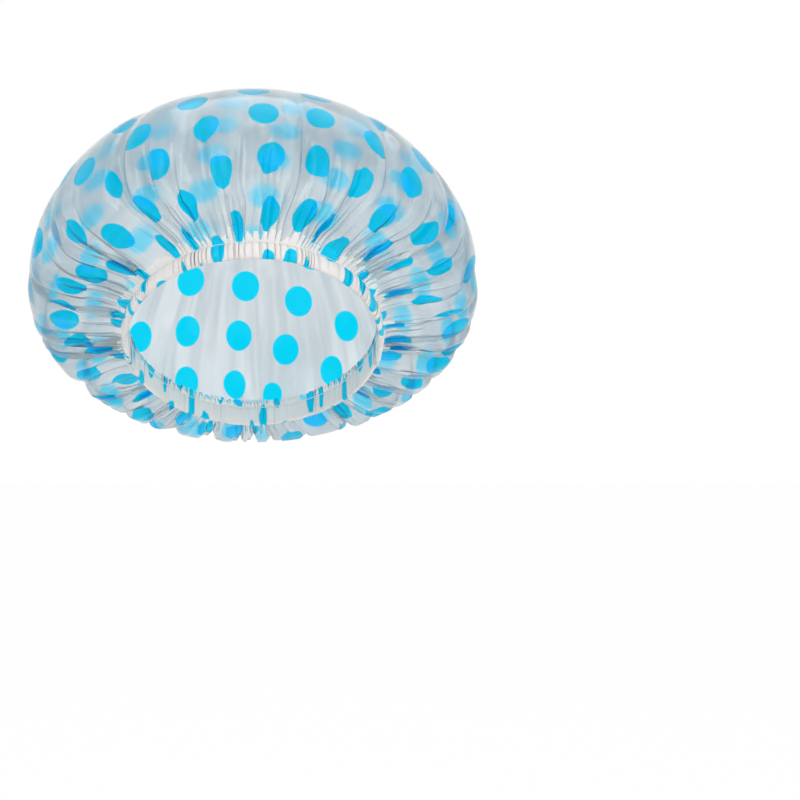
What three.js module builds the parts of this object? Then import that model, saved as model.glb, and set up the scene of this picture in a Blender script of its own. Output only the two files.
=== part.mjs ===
// A gathered shower cap as it sits on a head: one round sheet of printed plastic film, its edge
// turned in around a flat elastic and sewn shut, so that the sheet gathers into a puffed crown.
//
// Units are millimetres. The wearer looks along -Y, +X is the wearer's left and +Z is up. The
// origin is the centre of the head opening. The cap is made with its opening level, in the frame
// of the opening, and the finished cap is then tipped to its wearing tilt, forehead high.

import * as THREE from "three";

// The head opening, inside the hem, and how it sits on a head
const OPENING_WIDTH = 155;
const OPENING_LENGTH = 199;
const WEARING_TILT = THREE.MathUtils.degToRad(32);

// The puffed crown, measured in the frame of the opening
const CROWN_WIDTH = 284;
const CROWN_LENGTH = 284;
const CROWN_SETBACK = 19; // how far the crown's middle lies behind the opening's middle
const CROWN_HEIGHT = 165;
const EQUATOR_AT_FOREHEAD = 71; // heights of the crown's widest line, which droops at the back
const EQUATOR_AT_NAPE = 36;
const EQUATOR_REACH = 36; // how far the film hangs straight down from its widest line
const FLARE_AT_FOREHEAD = THREE.MathUtils.degToRad(58); // how steeply the film leaves the seam
const FLARE_AT_NAPE = THREE.MathUtils.degToRad(9);
const FLARE_REACH = 26; // how far the film keeps to that angle

// The folds that the gathered film falls into. They dip in from the crown's even surface, between
// broad panels. A place along the meridian runs from 0 at the crown's middle to 2 at the seam.
const FOLDS = 15;
const FIRST_FOLD = 3.0; // the phase of the folds at the forehead
const FOLD_DEPTH = 8; // of a middling fold, where it is deepest
const FOLD_START = 0.46;
const FOLD_DEEPEST = 1.05;
const FOLD_HALF_WIDTH = 0.14; // of the mean spacing between folds
const SPREAD_FROM = 1.25; // from here to the seam the folds spread evenly round the opening
const LEAST_DEPTH = 0.2; // the shallowest and deepest fold, as shares of the middling one
const MOST_DEPTH = 1.6;
// Slow sways round the head keep the folds uneven: each shifts their phase and varies their depth
const SWAYS = [
  { order: 1, spacing: 0.5, spacingFrom: 0.4, depth: 0.1, depthFrom: 4.71 },
  { order: 2, spacing: 0.7, spacingFrom: 2.9, depth: 0.22, depthFrom: 4.71 },
  { order: 3, spacing: 0.55, spacingFrom: 5.1, depth: 0.18, depthFrom: 4.4 },
  { order: 5, spacing: 0.45, spacingFrom: 1.7, depth: 0.2, depthFrom: 5.6 },
  { order: 8, spacing: 0.35, spacingFrom: 3.6, depth: 0.16, depthFrom: 1.5 },
];
const SEAM_GATHER = 0.9; // how far a fold stands out at the seam
const HEM_GATHER = 1.2; // and around the elastic

// The sheet, the elastic and the sewing threads
const FILM_THICKNESS = 0.1;
const ELASTIC_WIDTH = 8;
const ELASTIC_THICKNESS = 0.9;
const ELASTIC_LAP = 18; // the length over which the elastic's two ends lie on each other
const THREAD_DIAMETER = 0.45;
const TACK_LENGTH = 9; // the zigzag that sews the elastic's ends together
const TACK_HEIGHT = 5;
const TACK_STITCHES = 7;
const CLEARANCE = 0.3; // between pieces that lie against each other

// The hem, as heights above the opening's edge
const HEM_FOLD = 1.6; // the folded edge below the elastic
const SEAM_ABOVE_ELASTIC = 2.6;
const RAW_EDGE_ABOVE_SEAM = 3;

// How finely the soft pieces are faceted
const CROWN_ROWS = [0.24, 0.47, 0.69, 0.85, 1, 1.25, 1.5, 1.75]; // places along the meridian
const ELASTIC_STEPS = 96;
const THREAD_SIDES = 6;
const STEPS_PER_STITCH = 4;
const SLOPE_STEP = 1e-3;
const SETTLING_STEPS = 80; // in which a fold's turn settles

// What follows from these sizes: the layers of the hem, as offsets outside the head opening
const seamHeight = HEM_FOLD + ELASTIC_WIDTH + SEAM_ABOVE_ELASTIC;
const threadRadius = THREAD_DIAMETER / 2;
const elasticInside = FILM_THICKNESS + CLEARANCE;
const lapInside = elasticInside + ELASTIC_THICKNESS + CLEARANCE;
const tackInside = lapInside + ELASTIC_THICKNESS + CLEARANCE;
const innerLayer = FILM_THICKNESS / 2;
const outerLayer = tackInside + THREAD_DIAMETER + CLEARANCE + FILM_THICKNESS / 2;
const seamLayer = innerLayer + FILM_THICKNESS + CLEARANCE;
const seatOnFilm = FILM_THICKNESS / 2 + CLEARANCE + threadRadius; // of a thread, to the mid surface

// The turn round the head at which a fold lies, where the phase is a whole number of turns
function foldTurn(number) {
  let turn = 0;
  for (let step = 0; step < SETTLING_STEPS; step++) {
    const shifts = SWAYS.map((sway) => sway.spacing * Math.sin(sway.order * turn + sway.spacingFrom));
    const shift = shifts.reduce((sum, one) => sum + one, FIRST_FOLD);
    turn = (2 * Math.PI * number - shift) / FOLDS;
  }
  return turn;
}

// A fold's depth as a share of the middling one
function depthShare(turn) {
  const parts = SWAYS.map((sway) => sway.depth * Math.sin(sway.order * turn + sway.depthFrom));
  const share = parts.reduce((sum, one) => sum + one, 1);
  return THREE.MathUtils.clamp(share, LEAST_DEPTH, MOST_DEPTH);
}

// The crown has three columns of points for each fold: its bottom, and the panel's edge on each
// side. The hem has as many, spread evenly so that it follows the elastic.
const foldHalfTurn = FOLD_HALF_WIDTH * ((2 * Math.PI) / FOLDS);
const columns = Array.from({ length: FOLDS }, (_, i) => foldTurn(i + 1)).flatMap((turn) => [
  { turn: turn - foldHalfTurn, dip: 0 },
  { turn, dip: depthShare(turn) },
  { turn: turn + foldHalfTurn, dip: 0 },
]);
const evenTurn = (j) => (j / columns.length) * 2 * Math.PI;
const evenStart =
  columns.reduce((sum, { turn }, j) => sum + turn - evenTurn(j), 0) / columns.length;
const hemColumns = columns.map(({ dip }, j) => ({ turn: evenStart + evenTurn(j), out: dip ? 0 : 1 }));

// A point beside the opening's edge: turn runs round from the forehead, offset is how far outside
// the opening it lies, and height is above the opening's edge.
function besideOpening(turn, offset, height) {
  return new THREE.Vector3(
    (OPENING_WIDTH / 2 + offset) * Math.sin(turn),
    -(OPENING_LENGTH / 2 + offset) * Math.cos(turn),
    height,
  );
}

// A size that changes evenly from the forehead round to the nape
function roundTheHead(atForehead, atNape, turn) {
  return THREE.MathUtils.lerp(atForehead, atNape, (1 - Math.cos(turn)) / 2);
}

// The crown's even surface, before it is gathered. Along the meridian, 0 to 1 is the dome from the
// crown's middle to its widest line, and 1 to 2 is the flare from there in to the seam.
function evenCrown(along, turn) {
  const lift = Math.min(along, 1) * (Math.PI / 2);
  const equator = roundTheHead(EQUATOR_AT_FOREHEAD, EQUATOR_AT_NAPE, turn);
  const dome = new THREE.Vector3(
    (CROWN_WIDTH / 2) * Math.sin(lift) * Math.sin(turn),
    CROWN_SETBACK - (CROWN_LENGTH / 2) * Math.sin(lift) * Math.cos(turn),
    THREE.MathUtils.lerp(equator, CROWN_HEIGHT, Math.cos(lift)),
  );
  if (along <= 1) return dome;
  const seam = besideOpening(turn, seamLayer, seamHeight);
  const outward = new THREE.Vector3(dome.x - seam.x, dome.y - seam.y, 0).normalize();
  const flare = roundTheHead(FLARE_AT_FOREHEAD, FLARE_AT_NAPE, turn);
  const leaving = outward.multiplyScalar(Math.cos(flare)).setZ(Math.sin(flare));
  const belowEquator = dome.clone().setZ(dome.z - EQUATOR_REACH);
  const aboveSeam = seam.clone().addScaledVector(leaving, FLARE_REACH);
  return new THREE.CubicBezierCurve3(dome, belowEquator, aboveSeam, seam).getPoint(along - 1);
}

// The outward direction of the even surface
function outwardOf(along, turn) {
  const here = evenCrown(along, turn);
  const down = here.clone().sub(evenCrown(along - SLOPE_STEP, turn));
  const round = evenCrown(along, turn + SLOPE_STEP).sub(here);
  return down.cross(round).normalize();
}

// A middling fold's depth along the meridian: it grows from where it starts and closes at the seam
function foldDepth(along) {
  const growing = THREE.MathUtils.smoothstep(along, FOLD_START, FOLD_DEEPEST);
  const closing = 1 - THREE.MathUtils.smoothstep(along, FOLD_DEEPEST, 2);
  return FOLD_DEPTH * growing * closing;
}

function gatheredCrown(along, turn, dip) {
  return evenCrown(along, turn).addScaledVector(outwardOf(along, turn), -dip * foldDepth(along));
}

// A row of the hem, whose crests stand out and whose valleys lie at the given offset
function hemRow(offset, height, gather) {
  return hemColumns.map(({ turn, out }) => besideOpening(turn, offset + gather * out, height));
}

// The film's mid surface in rows of points, from the crown's middle to the seam, and from there
// down round the elastic and up again to the raw edge on the inside
const crownRows = CROWN_ROWS.map((along) =>
  columns.map(({ turn, dip }, j) => {
    const spread = THREE.MathUtils.smoothstep(along, SPREAD_FROM, 2);
    return gatheredCrown(along, THREE.MathUtils.lerp(turn, hemColumns[j].turn, spread), dip);
  }),
);
const seamRow = hemRow(seamLayer, seamHeight, SEAM_GATHER);
const pocketRow = hemRow(outerLayer, HEM_FOLD + ELASTIC_WIDTH + CLEARANCE, HEM_GATHER);
const filmRows = [
  ...crownRows,
  seamRow,
  pocketRow,
  hemRow(outerLayer, FILM_THICKNESS / 2, HEM_GATHER),
  hemRow(innerLayer, FILM_THICKNESS / 2, 0),
  hemRow(innerLayer, seamHeight + RAW_EDGE_ABOVE_SEAM, 0),
];

// Triangles between rows of points that run round the cap, numbered row after row from first
function rowTriangles(rowCount, first = 0) {
  const at = (row, column) => first + row * columns.length + (column % columns.length);
  const triangles = [];
  for (let i = 0; i < rowCount - 1; i++)
    for (let j = 0; j < columns.length; j++) {
      triangles.push([at(i, j), at(i + 1, j), at(i + 1, j + 1)]);
      triangles.push([at(i, j), at(i + 1, j + 1), at(i, j + 1)]);
    }
  return triangles;
}

// The film as one closed solid: two faces, half a thickness to each side of the mid surface, and
// a rim that joins them along the raw edge.
function filmGeometry() {
  const points = [evenCrown(0, 0), ...filmRows.flat()];
  const middleFan = columns.map((_, j) => [0, 1 + j, 1 + ((j + 1) % columns.length)]);
  const sheet = [...middleFan, ...rowTriangles(filmRows.length, 1)];
  const midSurface = new THREE.BufferGeometry().setFromPoints(points).setIndex(sheet.flat());
  midSurface.computeVertexNormals();
  const normals = midSurface.attributes.normal;
  const face = (side) =>
    points.map((point, i) => {
      const normal = new THREE.Vector3().fromBufferAttribute(normals, i);
      return point.clone().addScaledVector(normal, (side * FILM_THICKNESS) / 2);
    });
  const count = points.length;
  const insideFace = sheet.map(([a, b, c]) => [a + count, c + count, b + count]);
  const edge = columns.map((_, j) => count - columns.length + j);
  const rim = edge.flatMap((here, j) => {
    const next = edge[(j + 1) % edge.length];
    return [
      [here, here + count, next + count],
      [here, next + count, next],
    ];
  });
  return new THREE.BufferGeometry()
    .setFromPoints([...face(1), ...face(-1)])
    .setIndex([...sheet, ...insideFace, ...rim].flat());
}

// The elastic is a flat strip bent round the opening, with its far end lapped over its near end
// at the nape. Its outline is drawn in the plane of the opening and raised to the strip's width.
function elasticGeometry() {
  const lapTurn = ELASTIC_LAP / (OPENING_WIDTH / 2);
  const edge = (extra) =>
    Array.from({ length: ELASTIC_STEPS + 1 }, (_, i) => {
      const turned = (i / ELASTIC_STEPS) * (2 * Math.PI + lapTurn);
      const climb = THREE.MathUtils.smoothstep(turned, 2 * Math.PI - lapTurn, 2 * Math.PI);
      const offset = THREE.MathUtils.lerp(elasticInside, lapInside, climb) + extra;
      const point = besideOpening(Math.PI - lapTurn / 2 + turned, offset, 0);
      return new THREE.Vector2(point.x, point.y);
    });
  const outline = new THREE.Shape([...edge(0), ...edge(ELASTIC_THICKNESS).reverse()]);
  const strip = new THREE.ExtrudeGeometry(outline, { depth: ELASTIC_WIDTH, bevelEnabled: false });
  return strip.translate(0, 0, HEM_FOLD);
}

// A thread that runs right round the cap through one centre for each column
function threadLoop(centres) {
  const rows = Array.from({ length: THREAD_SIDES + 1 }, (_, k) => {
    const angle = -(k / THREAD_SIDES) * 2 * Math.PI;
    return centres.map((centre) => {
      const outward = new THREE.Vector3(centre.x, centre.y, 0).normalize();
      const around = outward.multiplyScalar(Math.cos(angle)).setZ(Math.sin(angle));
      return centre.clone().addScaledVector(around, threadRadius);
    });
  });
  return new THREE.BufferGeometry()
    .setFromPoints(rows.flat())
    .setIndex(rowTriangles(rows.length).flat());
}

// The needle thread lies in the groove between the flare and the pocket, clear of both
function needleThread() {
  const flareRow = crownRows.at(-1);
  const centres = seamRow.map((seam, j) => {
    const toFlare = flareRow[j].clone().sub(seam).normalize();
    const toPocket = pocketRow[j].clone().sub(seam).normalize();
    const halfAngle = toFlare.angleTo(toPocket) / 2;
    const middle = toFlare.add(toPocket).normalize();
    return seam.clone().addScaledVector(middle, seatOnFilm / Math.sin(halfAngle));
  });
  return threadLoop(centres);
}

// The bobbin thread runs along the inside of the hem, opposite the needle thread
function bobbinThread() {
  return threadLoop(hemRow(innerLayer - seatOnFilm, seamHeight, 0));
}

// The tack is one zigzag thread on the outer face of the elastic's lap
function tackThread() {
  const middleHeight = HEM_FOLD + ELASTIC_WIDTH / 2;
  const corners = Array.from({ length: TACK_STITCHES + 1 }, (_, i) => {
    const aside = (i / TACK_STITCHES - 1 / 2) * TACK_LENGTH;
    const height = middleHeight + ((i % 2 ? 1 : -1) * TACK_HEIGHT) / 2;
    return besideOpening(Math.PI + aside / (OPENING_WIDTH / 2), tackInside + threadRadius, height);
  });
  const section = new THREE.EllipseCurve(0, 0, threadRadius, threadRadius);
  return new THREE.ExtrudeGeometry(new THREE.Shape(section.getPoints(THREAD_SIDES)), {
    extrudePath: new THREE.CatmullRomCurve3(corners),
    steps: TACK_STITCHES * STEPS_PER_STITCH,
  });
}

const film = new THREE.MeshStandardMaterial({
  color: 0xc4cfd8,
  roughness: 0.35,
  transparent: true,
  opacity: 0.6,
});
const elastic = new THREE.MeshStandardMaterial({ color: 0xf2f0e8, roughness: 0.85 });
const thread = new THREE.MeshStandardMaterial({ color: 0xf8f7f2, roughness: 0.7 });

function piece(name, geometry, material) {
  const mesh = new THREE.Mesh(geometry, material);
  mesh.name = name;
  return mesh;
}

const cap = new THREE.Group();
cap.add(
  piece("film_cap", filmGeometry(), film),
  piece("elastic_band", elasticGeometry(), elastic),
  piece("elastic_tack_thread", tackThread(), thread),
  piece("hem_needle_thread", needleThread(), thread),
  piece("hem_bobbin_thread", bobbinThread(), thread),
);
cap.rotation.x = -WEARING_TILT;

export default cap;
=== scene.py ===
"""A gathered shower cap of dotted, frosted film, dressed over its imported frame.

The film is one round sheet. Its flat sheet is known point for point, so the printed dots are laid
out on the flat sheet and the gathers squeeze and hide them as they do on the real cap. The sheet is
folded onto the cap's even form by a formula: broad panels between a few soft folds over the crown,
and ever finer gathers towards the seam. Lengths are in metres, +Z is up and the wearer looks
along -Y.
"""

import logging
import math
from dataclasses import dataclass, field
from enum import Enum

import bpy
import numpy as np
from mathutils import Matrix, Vector


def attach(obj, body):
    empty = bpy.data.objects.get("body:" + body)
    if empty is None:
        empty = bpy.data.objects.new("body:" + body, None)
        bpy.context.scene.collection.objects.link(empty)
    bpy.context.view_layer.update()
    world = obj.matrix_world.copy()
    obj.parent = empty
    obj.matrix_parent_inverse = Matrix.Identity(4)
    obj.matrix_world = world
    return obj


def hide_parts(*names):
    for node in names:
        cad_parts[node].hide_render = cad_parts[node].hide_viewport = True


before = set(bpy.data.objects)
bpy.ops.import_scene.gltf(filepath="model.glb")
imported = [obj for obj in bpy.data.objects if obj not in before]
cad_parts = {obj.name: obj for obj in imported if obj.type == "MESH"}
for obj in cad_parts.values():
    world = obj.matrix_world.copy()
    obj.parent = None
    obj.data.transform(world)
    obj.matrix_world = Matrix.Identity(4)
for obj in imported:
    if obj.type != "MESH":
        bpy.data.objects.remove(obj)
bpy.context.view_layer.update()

LOG = logging.getLogger("shower_cap")
BODY = "root"
FULL_TURN = 2 * math.pi
TINY = 1e-6
BROAD_GRAIN = 0.06
Triple = tuple[float, float, float]


class Slot(Enum):
    """The record's material slots, one passed along with each piece."""

    FILM = "film"
    ELASTIC = "elastic"
    THREAD = "thread"


class FilmState(Enum):
    """How the film lies: single over the crown, bunched in the hem and on the crests above it."""

    SINGLE = "frosted_dotted_film"
    BUNCHED = "gathered_dotted_hem"


def smooth_step(value: np.ndarray, low: float, high: float) -> np.ndarray:
    """Rise smoothly from 0 at low to 1 at high.

    Args:
        value: Where to evaluate.
        low: Start of the rise.
        high: End of the rise.

    Returns:
        The risen share, between 0 and 1.
    """
    share = np.clip((np.asarray(value, float) - low) / (high - low), 0.0, 1.0)
    return share * share * (3.0 - 2.0 * share)


@dataclass(frozen=True)
class Change:
    """A smooth change from a first to a last value, over a stretch of some measure."""

    start: float
    end: float
    first: float = 0.0
    last: float = 1.0

    def at(self, measure: float) -> float:
        """Give the value at one point of the measure."""
        risen = float(smooth_step(measure, self.start, self.end))
        return self.first + (self.last - self.first) * risen


def low_pass(values: np.ndarray, orders: float) -> np.ndarray:
    """Keep what changes slowly round a closed row.

    Args:
        values: The row's values.
        orders: How many waves round the row are still kept.

    Returns:
        The smoothed values.
    """
    waves = np.fft.rfft(values)
    waves *= np.exp(-((np.arange(len(waves)) / orders) ** 2))
    return np.fft.irfft(waves, len(values))


@dataclass(frozen=True)
class CapForm:
    """The even form that the film is gathered onto, with its opening level."""

    opening_width: float = 0.155
    opening_length: float = 0.199
    wearing_tilt: float = math.radians(32)
    crown_width: float = 0.284
    crown_length: float = 0.284
    crown_setback: float = 0.019
    crown_height: float = 0.165
    equator_at_forehead: float = 0.071
    equator_at_nape: float = 0.036
    equator_reach: float = 0.036
    flare_at_forehead: float = math.radians(58)
    flare_at_nape: float = math.radians(9)
    flare_reach: float = 0.026
    seam_offset: float = 0.00045
    seam_height: float = 0.0122

    def beside_opening(self, turn: np.ndarray, offset: np.ndarray, height: np.ndarray) -> np.ndarray:
        """Give points beside the opening's edge.

        Args:
            turn: Angle round the head from the forehead.
            offset: Distance outside the opening.
            height: Height above the opening's edge.

        Returns:
            Points, with xyz in the last axis.
        """
        turn, offset, height = np.broadcast_arrays(turn, offset, height)
        across = (self.opening_width / 2 + offset) * np.sin(turn)
        back = -(self.opening_length / 2 + offset) * np.cos(turn)
        return np.stack([across, back, height], axis=-1)

    def meridians(self, turn: np.ndarray, steps: int) -> np.ndarray:
        """Give the even surface's meridians, from the crown's middle to the seam.

        Args:
            turn: Angles round the head, one for each meridian.
            steps: Steps along the dome, and again along the flare.

        Returns:
            Points, indexed by meridian, step and xyz.
        """
        turn = turn[:, None]
        nape = (1 - np.cos(turn)) / 2
        equator = self.equator_at_forehead + (self.equator_at_nape - self.equator_at_forehead) * nape
        lift = np.linspace(0, math.pi / 2, steps + 1)[None]
        dome = np.stack(
            [
                self.crown_width / 2 * np.sin(lift) * np.sin(turn),
                self.crown_setback - self.crown_length / 2 * np.sin(lift) * np.cos(turn),
                equator + (self.crown_height - equator) * np.cos(lift),
            ],
            axis=-1,
        )
        widest = dome[:, -1]
        seam = self.beside_opening(turn[:, 0], self.seam_offset, self.seam_height)
        outward = (widest - seam) * (1, 1, 0)
        outward /= np.linalg.norm(outward, axis=1, keepdims=True)
        flare = self.flare_at_forehead + (self.flare_at_nape - self.flare_at_forehead) * nape
        below_widest = widest - (0, 0, self.equator_reach)
        above_seam = seam + self.flare_reach * (outward * np.cos(flare) + np.sin(flare) * (0, 0, 1))
        t = np.linspace(0, 1, steps + 1)[None, 1:, None]
        bend = [widest, below_widest, above_seam, seam]
        weights = [(1 - t) ** 3, 3 * t * (1 - t) ** 2, 3 * t**2 * (1 - t), t**3]
        under = sum(weight * point[:, None] for weight, point in zip(weights, bend))
        return np.concatenate([dome, under], axis=1)

    def worn(self, points: np.ndarray) -> np.ndarray:
        """Tip points from the level opening to the wearing tilt.

        Args:
            points: Points, with xyz in the last axis.

        Returns:
            The tipped points.
        """
        cos, sin = math.cos(self.wearing_tilt), math.sin(self.wearing_tilt)
        x, y, z = np.moveaxis(points, -1, 0)
        return np.stack([x, y * cos + z * sin, z * cos - y * sin], axis=-1)


class EvenSurface:
    """The even form as a table that can be read at any turn and any share of a meridian."""

    TURNS = 360
    SHARES = 400
    STEPS = 160

    def __init__(self, form: CapForm) -> None:
        """Tabulate the form.

        Args:
            form: The even form.
        """
        turn = np.arange(self.TURNS) / self.TURNS * FULL_TURN
        points = form.meridians(turn, self.STEPS)
        along = np.linalg.norm(np.diff(points, axis=1), axis=2).cumsum(axis=1)
        along = np.concatenate([np.zeros((self.TURNS, 1)), along], axis=1)
        self.length = along[:, -1]
        share = np.linspace(0, 1, self.SHARES + 1)
        self.points = np.empty((self.TURNS, self.SHARES + 1, 3))
        for i, (meridian, done) in enumerate(zip(points, along)):
            for axis in range(3):
                self.points[i, :, axis] = np.interp(share * done[-1], done, meridian[:, axis])
        down = np.gradient(self.points, axis=1)
        around = (np.roll(self.points, -1, axis=0) - np.roll(self.points, 1, axis=0)) / 2
        normal = np.cross(down, around)
        normal[:, 0] = (0, 0, 1)
        self.normals = normal / np.linalg.norm(normal, axis=2, keepdims=True)
        self.girth = np.linalg.norm(around, axis=2).sum(axis=0)

    def read(self, table: np.ndarray, turn: np.ndarray, share: np.ndarray) -> np.ndarray:
        """Read a table between its entries.

        Args:
            table: The points or the normals.
            turn: Angles round the head.
            share: Shares of the meridian, from 0 in the crown's middle to 1 at the seam.

        Returns:
            The table's values there.
        """
        place = np.asarray(turn) / FULL_TURN * self.TURNS
        first = np.floor(place).astype(int)
        part = (place - first)[..., None]
        row = np.clip(np.asarray(share) * self.SHARES, 0, self.SHARES - TINY)
        row, _ = np.broadcast_arrays(row, place)
        low = row.astype(int)
        rise = (row - low)[..., None]
        i, k = first % self.TURNS, (first + 1) % self.TURNS
        here = table[i, low] * (1 - rise) + table[i, low + 1] * rise
        there = table[k, low] * (1 - rise) + table[k, low + 1] * rise
        return here * (1 - part) + there * part

    def flat_radius(self, turn: np.ndarray) -> np.ndarray:
        """Give the film's length from the crown's middle to the seam at each turn."""
        angles = np.arange(self.TURNS + 1) / self.TURNS * FULL_TURN
        return np.interp(np.mod(turn, FULL_TURN), angles, np.append(self.length, self.length[0]))


@dataclass(frozen=True)
class Sway:
    """A slow sway round the cap, which keeps the folds from being even."""

    order: int
    spacing: float
    spacing_from: float
    depth: float
    depth_from: float
    lean: float
    lean_from: float

    def wave(self, angle: np.ndarray, start: float, times: int = 1) -> np.ndarray:
        """Give the sway's wave round the cap, or a finer one with some times its order."""
        return np.sin(times * self.order * angle + start)


MAIN_SWAYS = (
    Sway(1, 0.50, 0.4, 0.10, 4.71, 0.30, 4.0),
    Sway(2, 0.70, 2.9, 0.22, 4.71, 0.35, 1.1),
    Sway(3, 0.55, 5.1, 0.18, 4.4, 0.30, 2.6),
    Sway(5, 0.45, 1.7, 0.20, 5.6, 0.25, 5.3),
    Sway(8, 0.35, 3.6, 0.16, 1.5, 0.20, 0.2),
)
FINE_SWAYS = (
    Sway(2, 1.10, 1.2, 0.17, 0.9, 0.05, 2.0),
    Sway(5, 0.90, 4.6, 0.27, 3.3, 0.06, 4.4),
    Sway(9, 0.80, 2.2, 0.31, 5.0, 0.06, 0.7),
    Sway(14, 0.70, 5.8, 0.31, 1.9, 0.05, 3.1),
    Sway(23, 0.50, 0.5, 0.34, 4.1, 0.04, 5.5),
)


@dataclass(frozen=True)
class FoldFamily:
    """A family of inward folds that share a count round the cap and a reach along the meridian."""

    count: int
    first: float
    start: float
    full: float
    fade: float
    least: float
    width: float
    sways: tuple[Sway, ...]
    weight: float = 1.0
    wander: float = 0.3
    wander_from: float = 0.7
    ragged: float = 0.21
    shallowest: float = 0.2
    deepest: float = 1.6

    def strength(self, angle: np.ndarray, share: float) -> np.ndarray:
        """Give the family's weight round the cap at a share of the meridian.

        Args:
            angle: Angles on the flat sheet.
            share: Share of the meridian.

        Returns:
            The weights, from 0 to the family's own weight.
        """
        uneven = sum(sway.depth * sway.wave(angle, sway.lean_from, 2) for sway in self.sways)
        late = self.ragged * uneven * (self.full - self.start)
        grown = smooth_step(share - late, self.start, self.full)
        return self.weight * grown * Change(self.fade, 1.0, 1.0, self.least).at(share)

    def slopes(self, angle: np.ndarray, share: float, wide: float) -> np.ndarray:
        """Give the slopes of the family's folds round the cap.

        Each fold dips in and comes back out over a narrow stretch, and the film between the folds
        stays level, so it makes the broad panels.

        Args:
            angle: Angles on the flat sheet.
            share: Share of the meridian, which lets the folds wander.
            wide: How wide the folds are, as a factor.

        Returns:
            The slopes, about -1 to 1.
        """
        phase = self.count * angle + self.first
        height = np.ones_like(angle)
        for sway in self.sways:
            phase = phase + sway.spacing * sway.wave(angle, sway.spacing_from)
            stray = self.wander * (share - self.wander_from)
            phase = phase + stray * sway.wave(angle, sway.lean_from)
            height = height + sway.depth * sway.wave(angle, sway.depth_from)
        height = np.clip(height, self.shallowest, self.deepest)
        away = np.mod(phase + math.pi, FULL_TURN) - math.pi
        reach = away / (self.width * wide * np.sqrt(height))
        return height * reach * np.exp(0.5 - reach**2 / 2)

    def leans(self, angle: np.ndarray) -> np.ndarray:
        """Give how far the folds lean sideways, as a share of their depth."""
        return sum(sway.lean * sway.wave(angle, sway.lean_from) for sway in self.sways)


@dataclass(frozen=True)
class HemRow:
    """A row of the turned hem: where it runs, how far its puckers stand and how its edge ripples."""

    offset: float
    height: float
    pucker: float
    ripple: float = 0.0


class FilmMesh:
    """Points, flat places and faces of the film, row by row from the crown's middle outwards."""

    def __init__(self) -> None:
        """Start with no rows."""
        self.points: list[np.ndarray] = []
        self.flat: list[np.ndarray] = []
        self.shares: list[np.ndarray] = []
        self.crests: list[np.ndarray] = []
        self.faces: list[tuple[int, ...]] = []
        self.starts: list[int] = []
        self.size = 0

    def add_row(self, points: np.ndarray, flat: np.ndarray, crests: np.ndarray, share: float) -> None:
        """Add a closed row, and join it to the row before it.

        Args:
            points: The row's points.
            flat: The row's places on the flat sheet.
            crests: How far each point lies on a gather's crest, from -1 in a valley to 1.
            share: The row's share of the meridian, above 1 in the hem.
        """
        start, count = self.size, len(points)
        if self.points:
            self._join(self.starts[-1], len(self.points[-1]), start, count)
        self.points.append(points)
        self.flat.append(flat)
        self.crests.append(crests)
        self.shares.append(np.full(count, share))
        self.starts.append(start)
        self.size += count

    def _join(self, upper: int, upper_count: int, lower: int, lower_count: int) -> None:
        """Make the faces between two rows, of which the lower may have twice the points.

        Args:
            upper: The upper row's first point.
            upper_count: The upper row's number of points, 1 in the crown's middle.
            lower: The lower row's first point.
            lower_count: The lower row's number of points.
        """
        if upper_count == 1:
            for i in range(lower_count):
                self.faces.append((upper, lower + i, lower + (i + 1) % lower_count))
            return
        for i in range(upper_count):
            k = (i + 1) % upper_count
            if lower_count == upper_count:
                self.faces.append((upper + i, lower + i, lower + k, upper + k))
                continue
            first, middle = lower + 2 * i, lower + 2 * i + 1
            last = lower + (2 * i + 2) % lower_count
            self.faces.append((upper + i, first, middle))
            self.faces.append((upper + i, middle, upper + k))
            self.faces.append((upper + k, middle, last))


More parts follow.
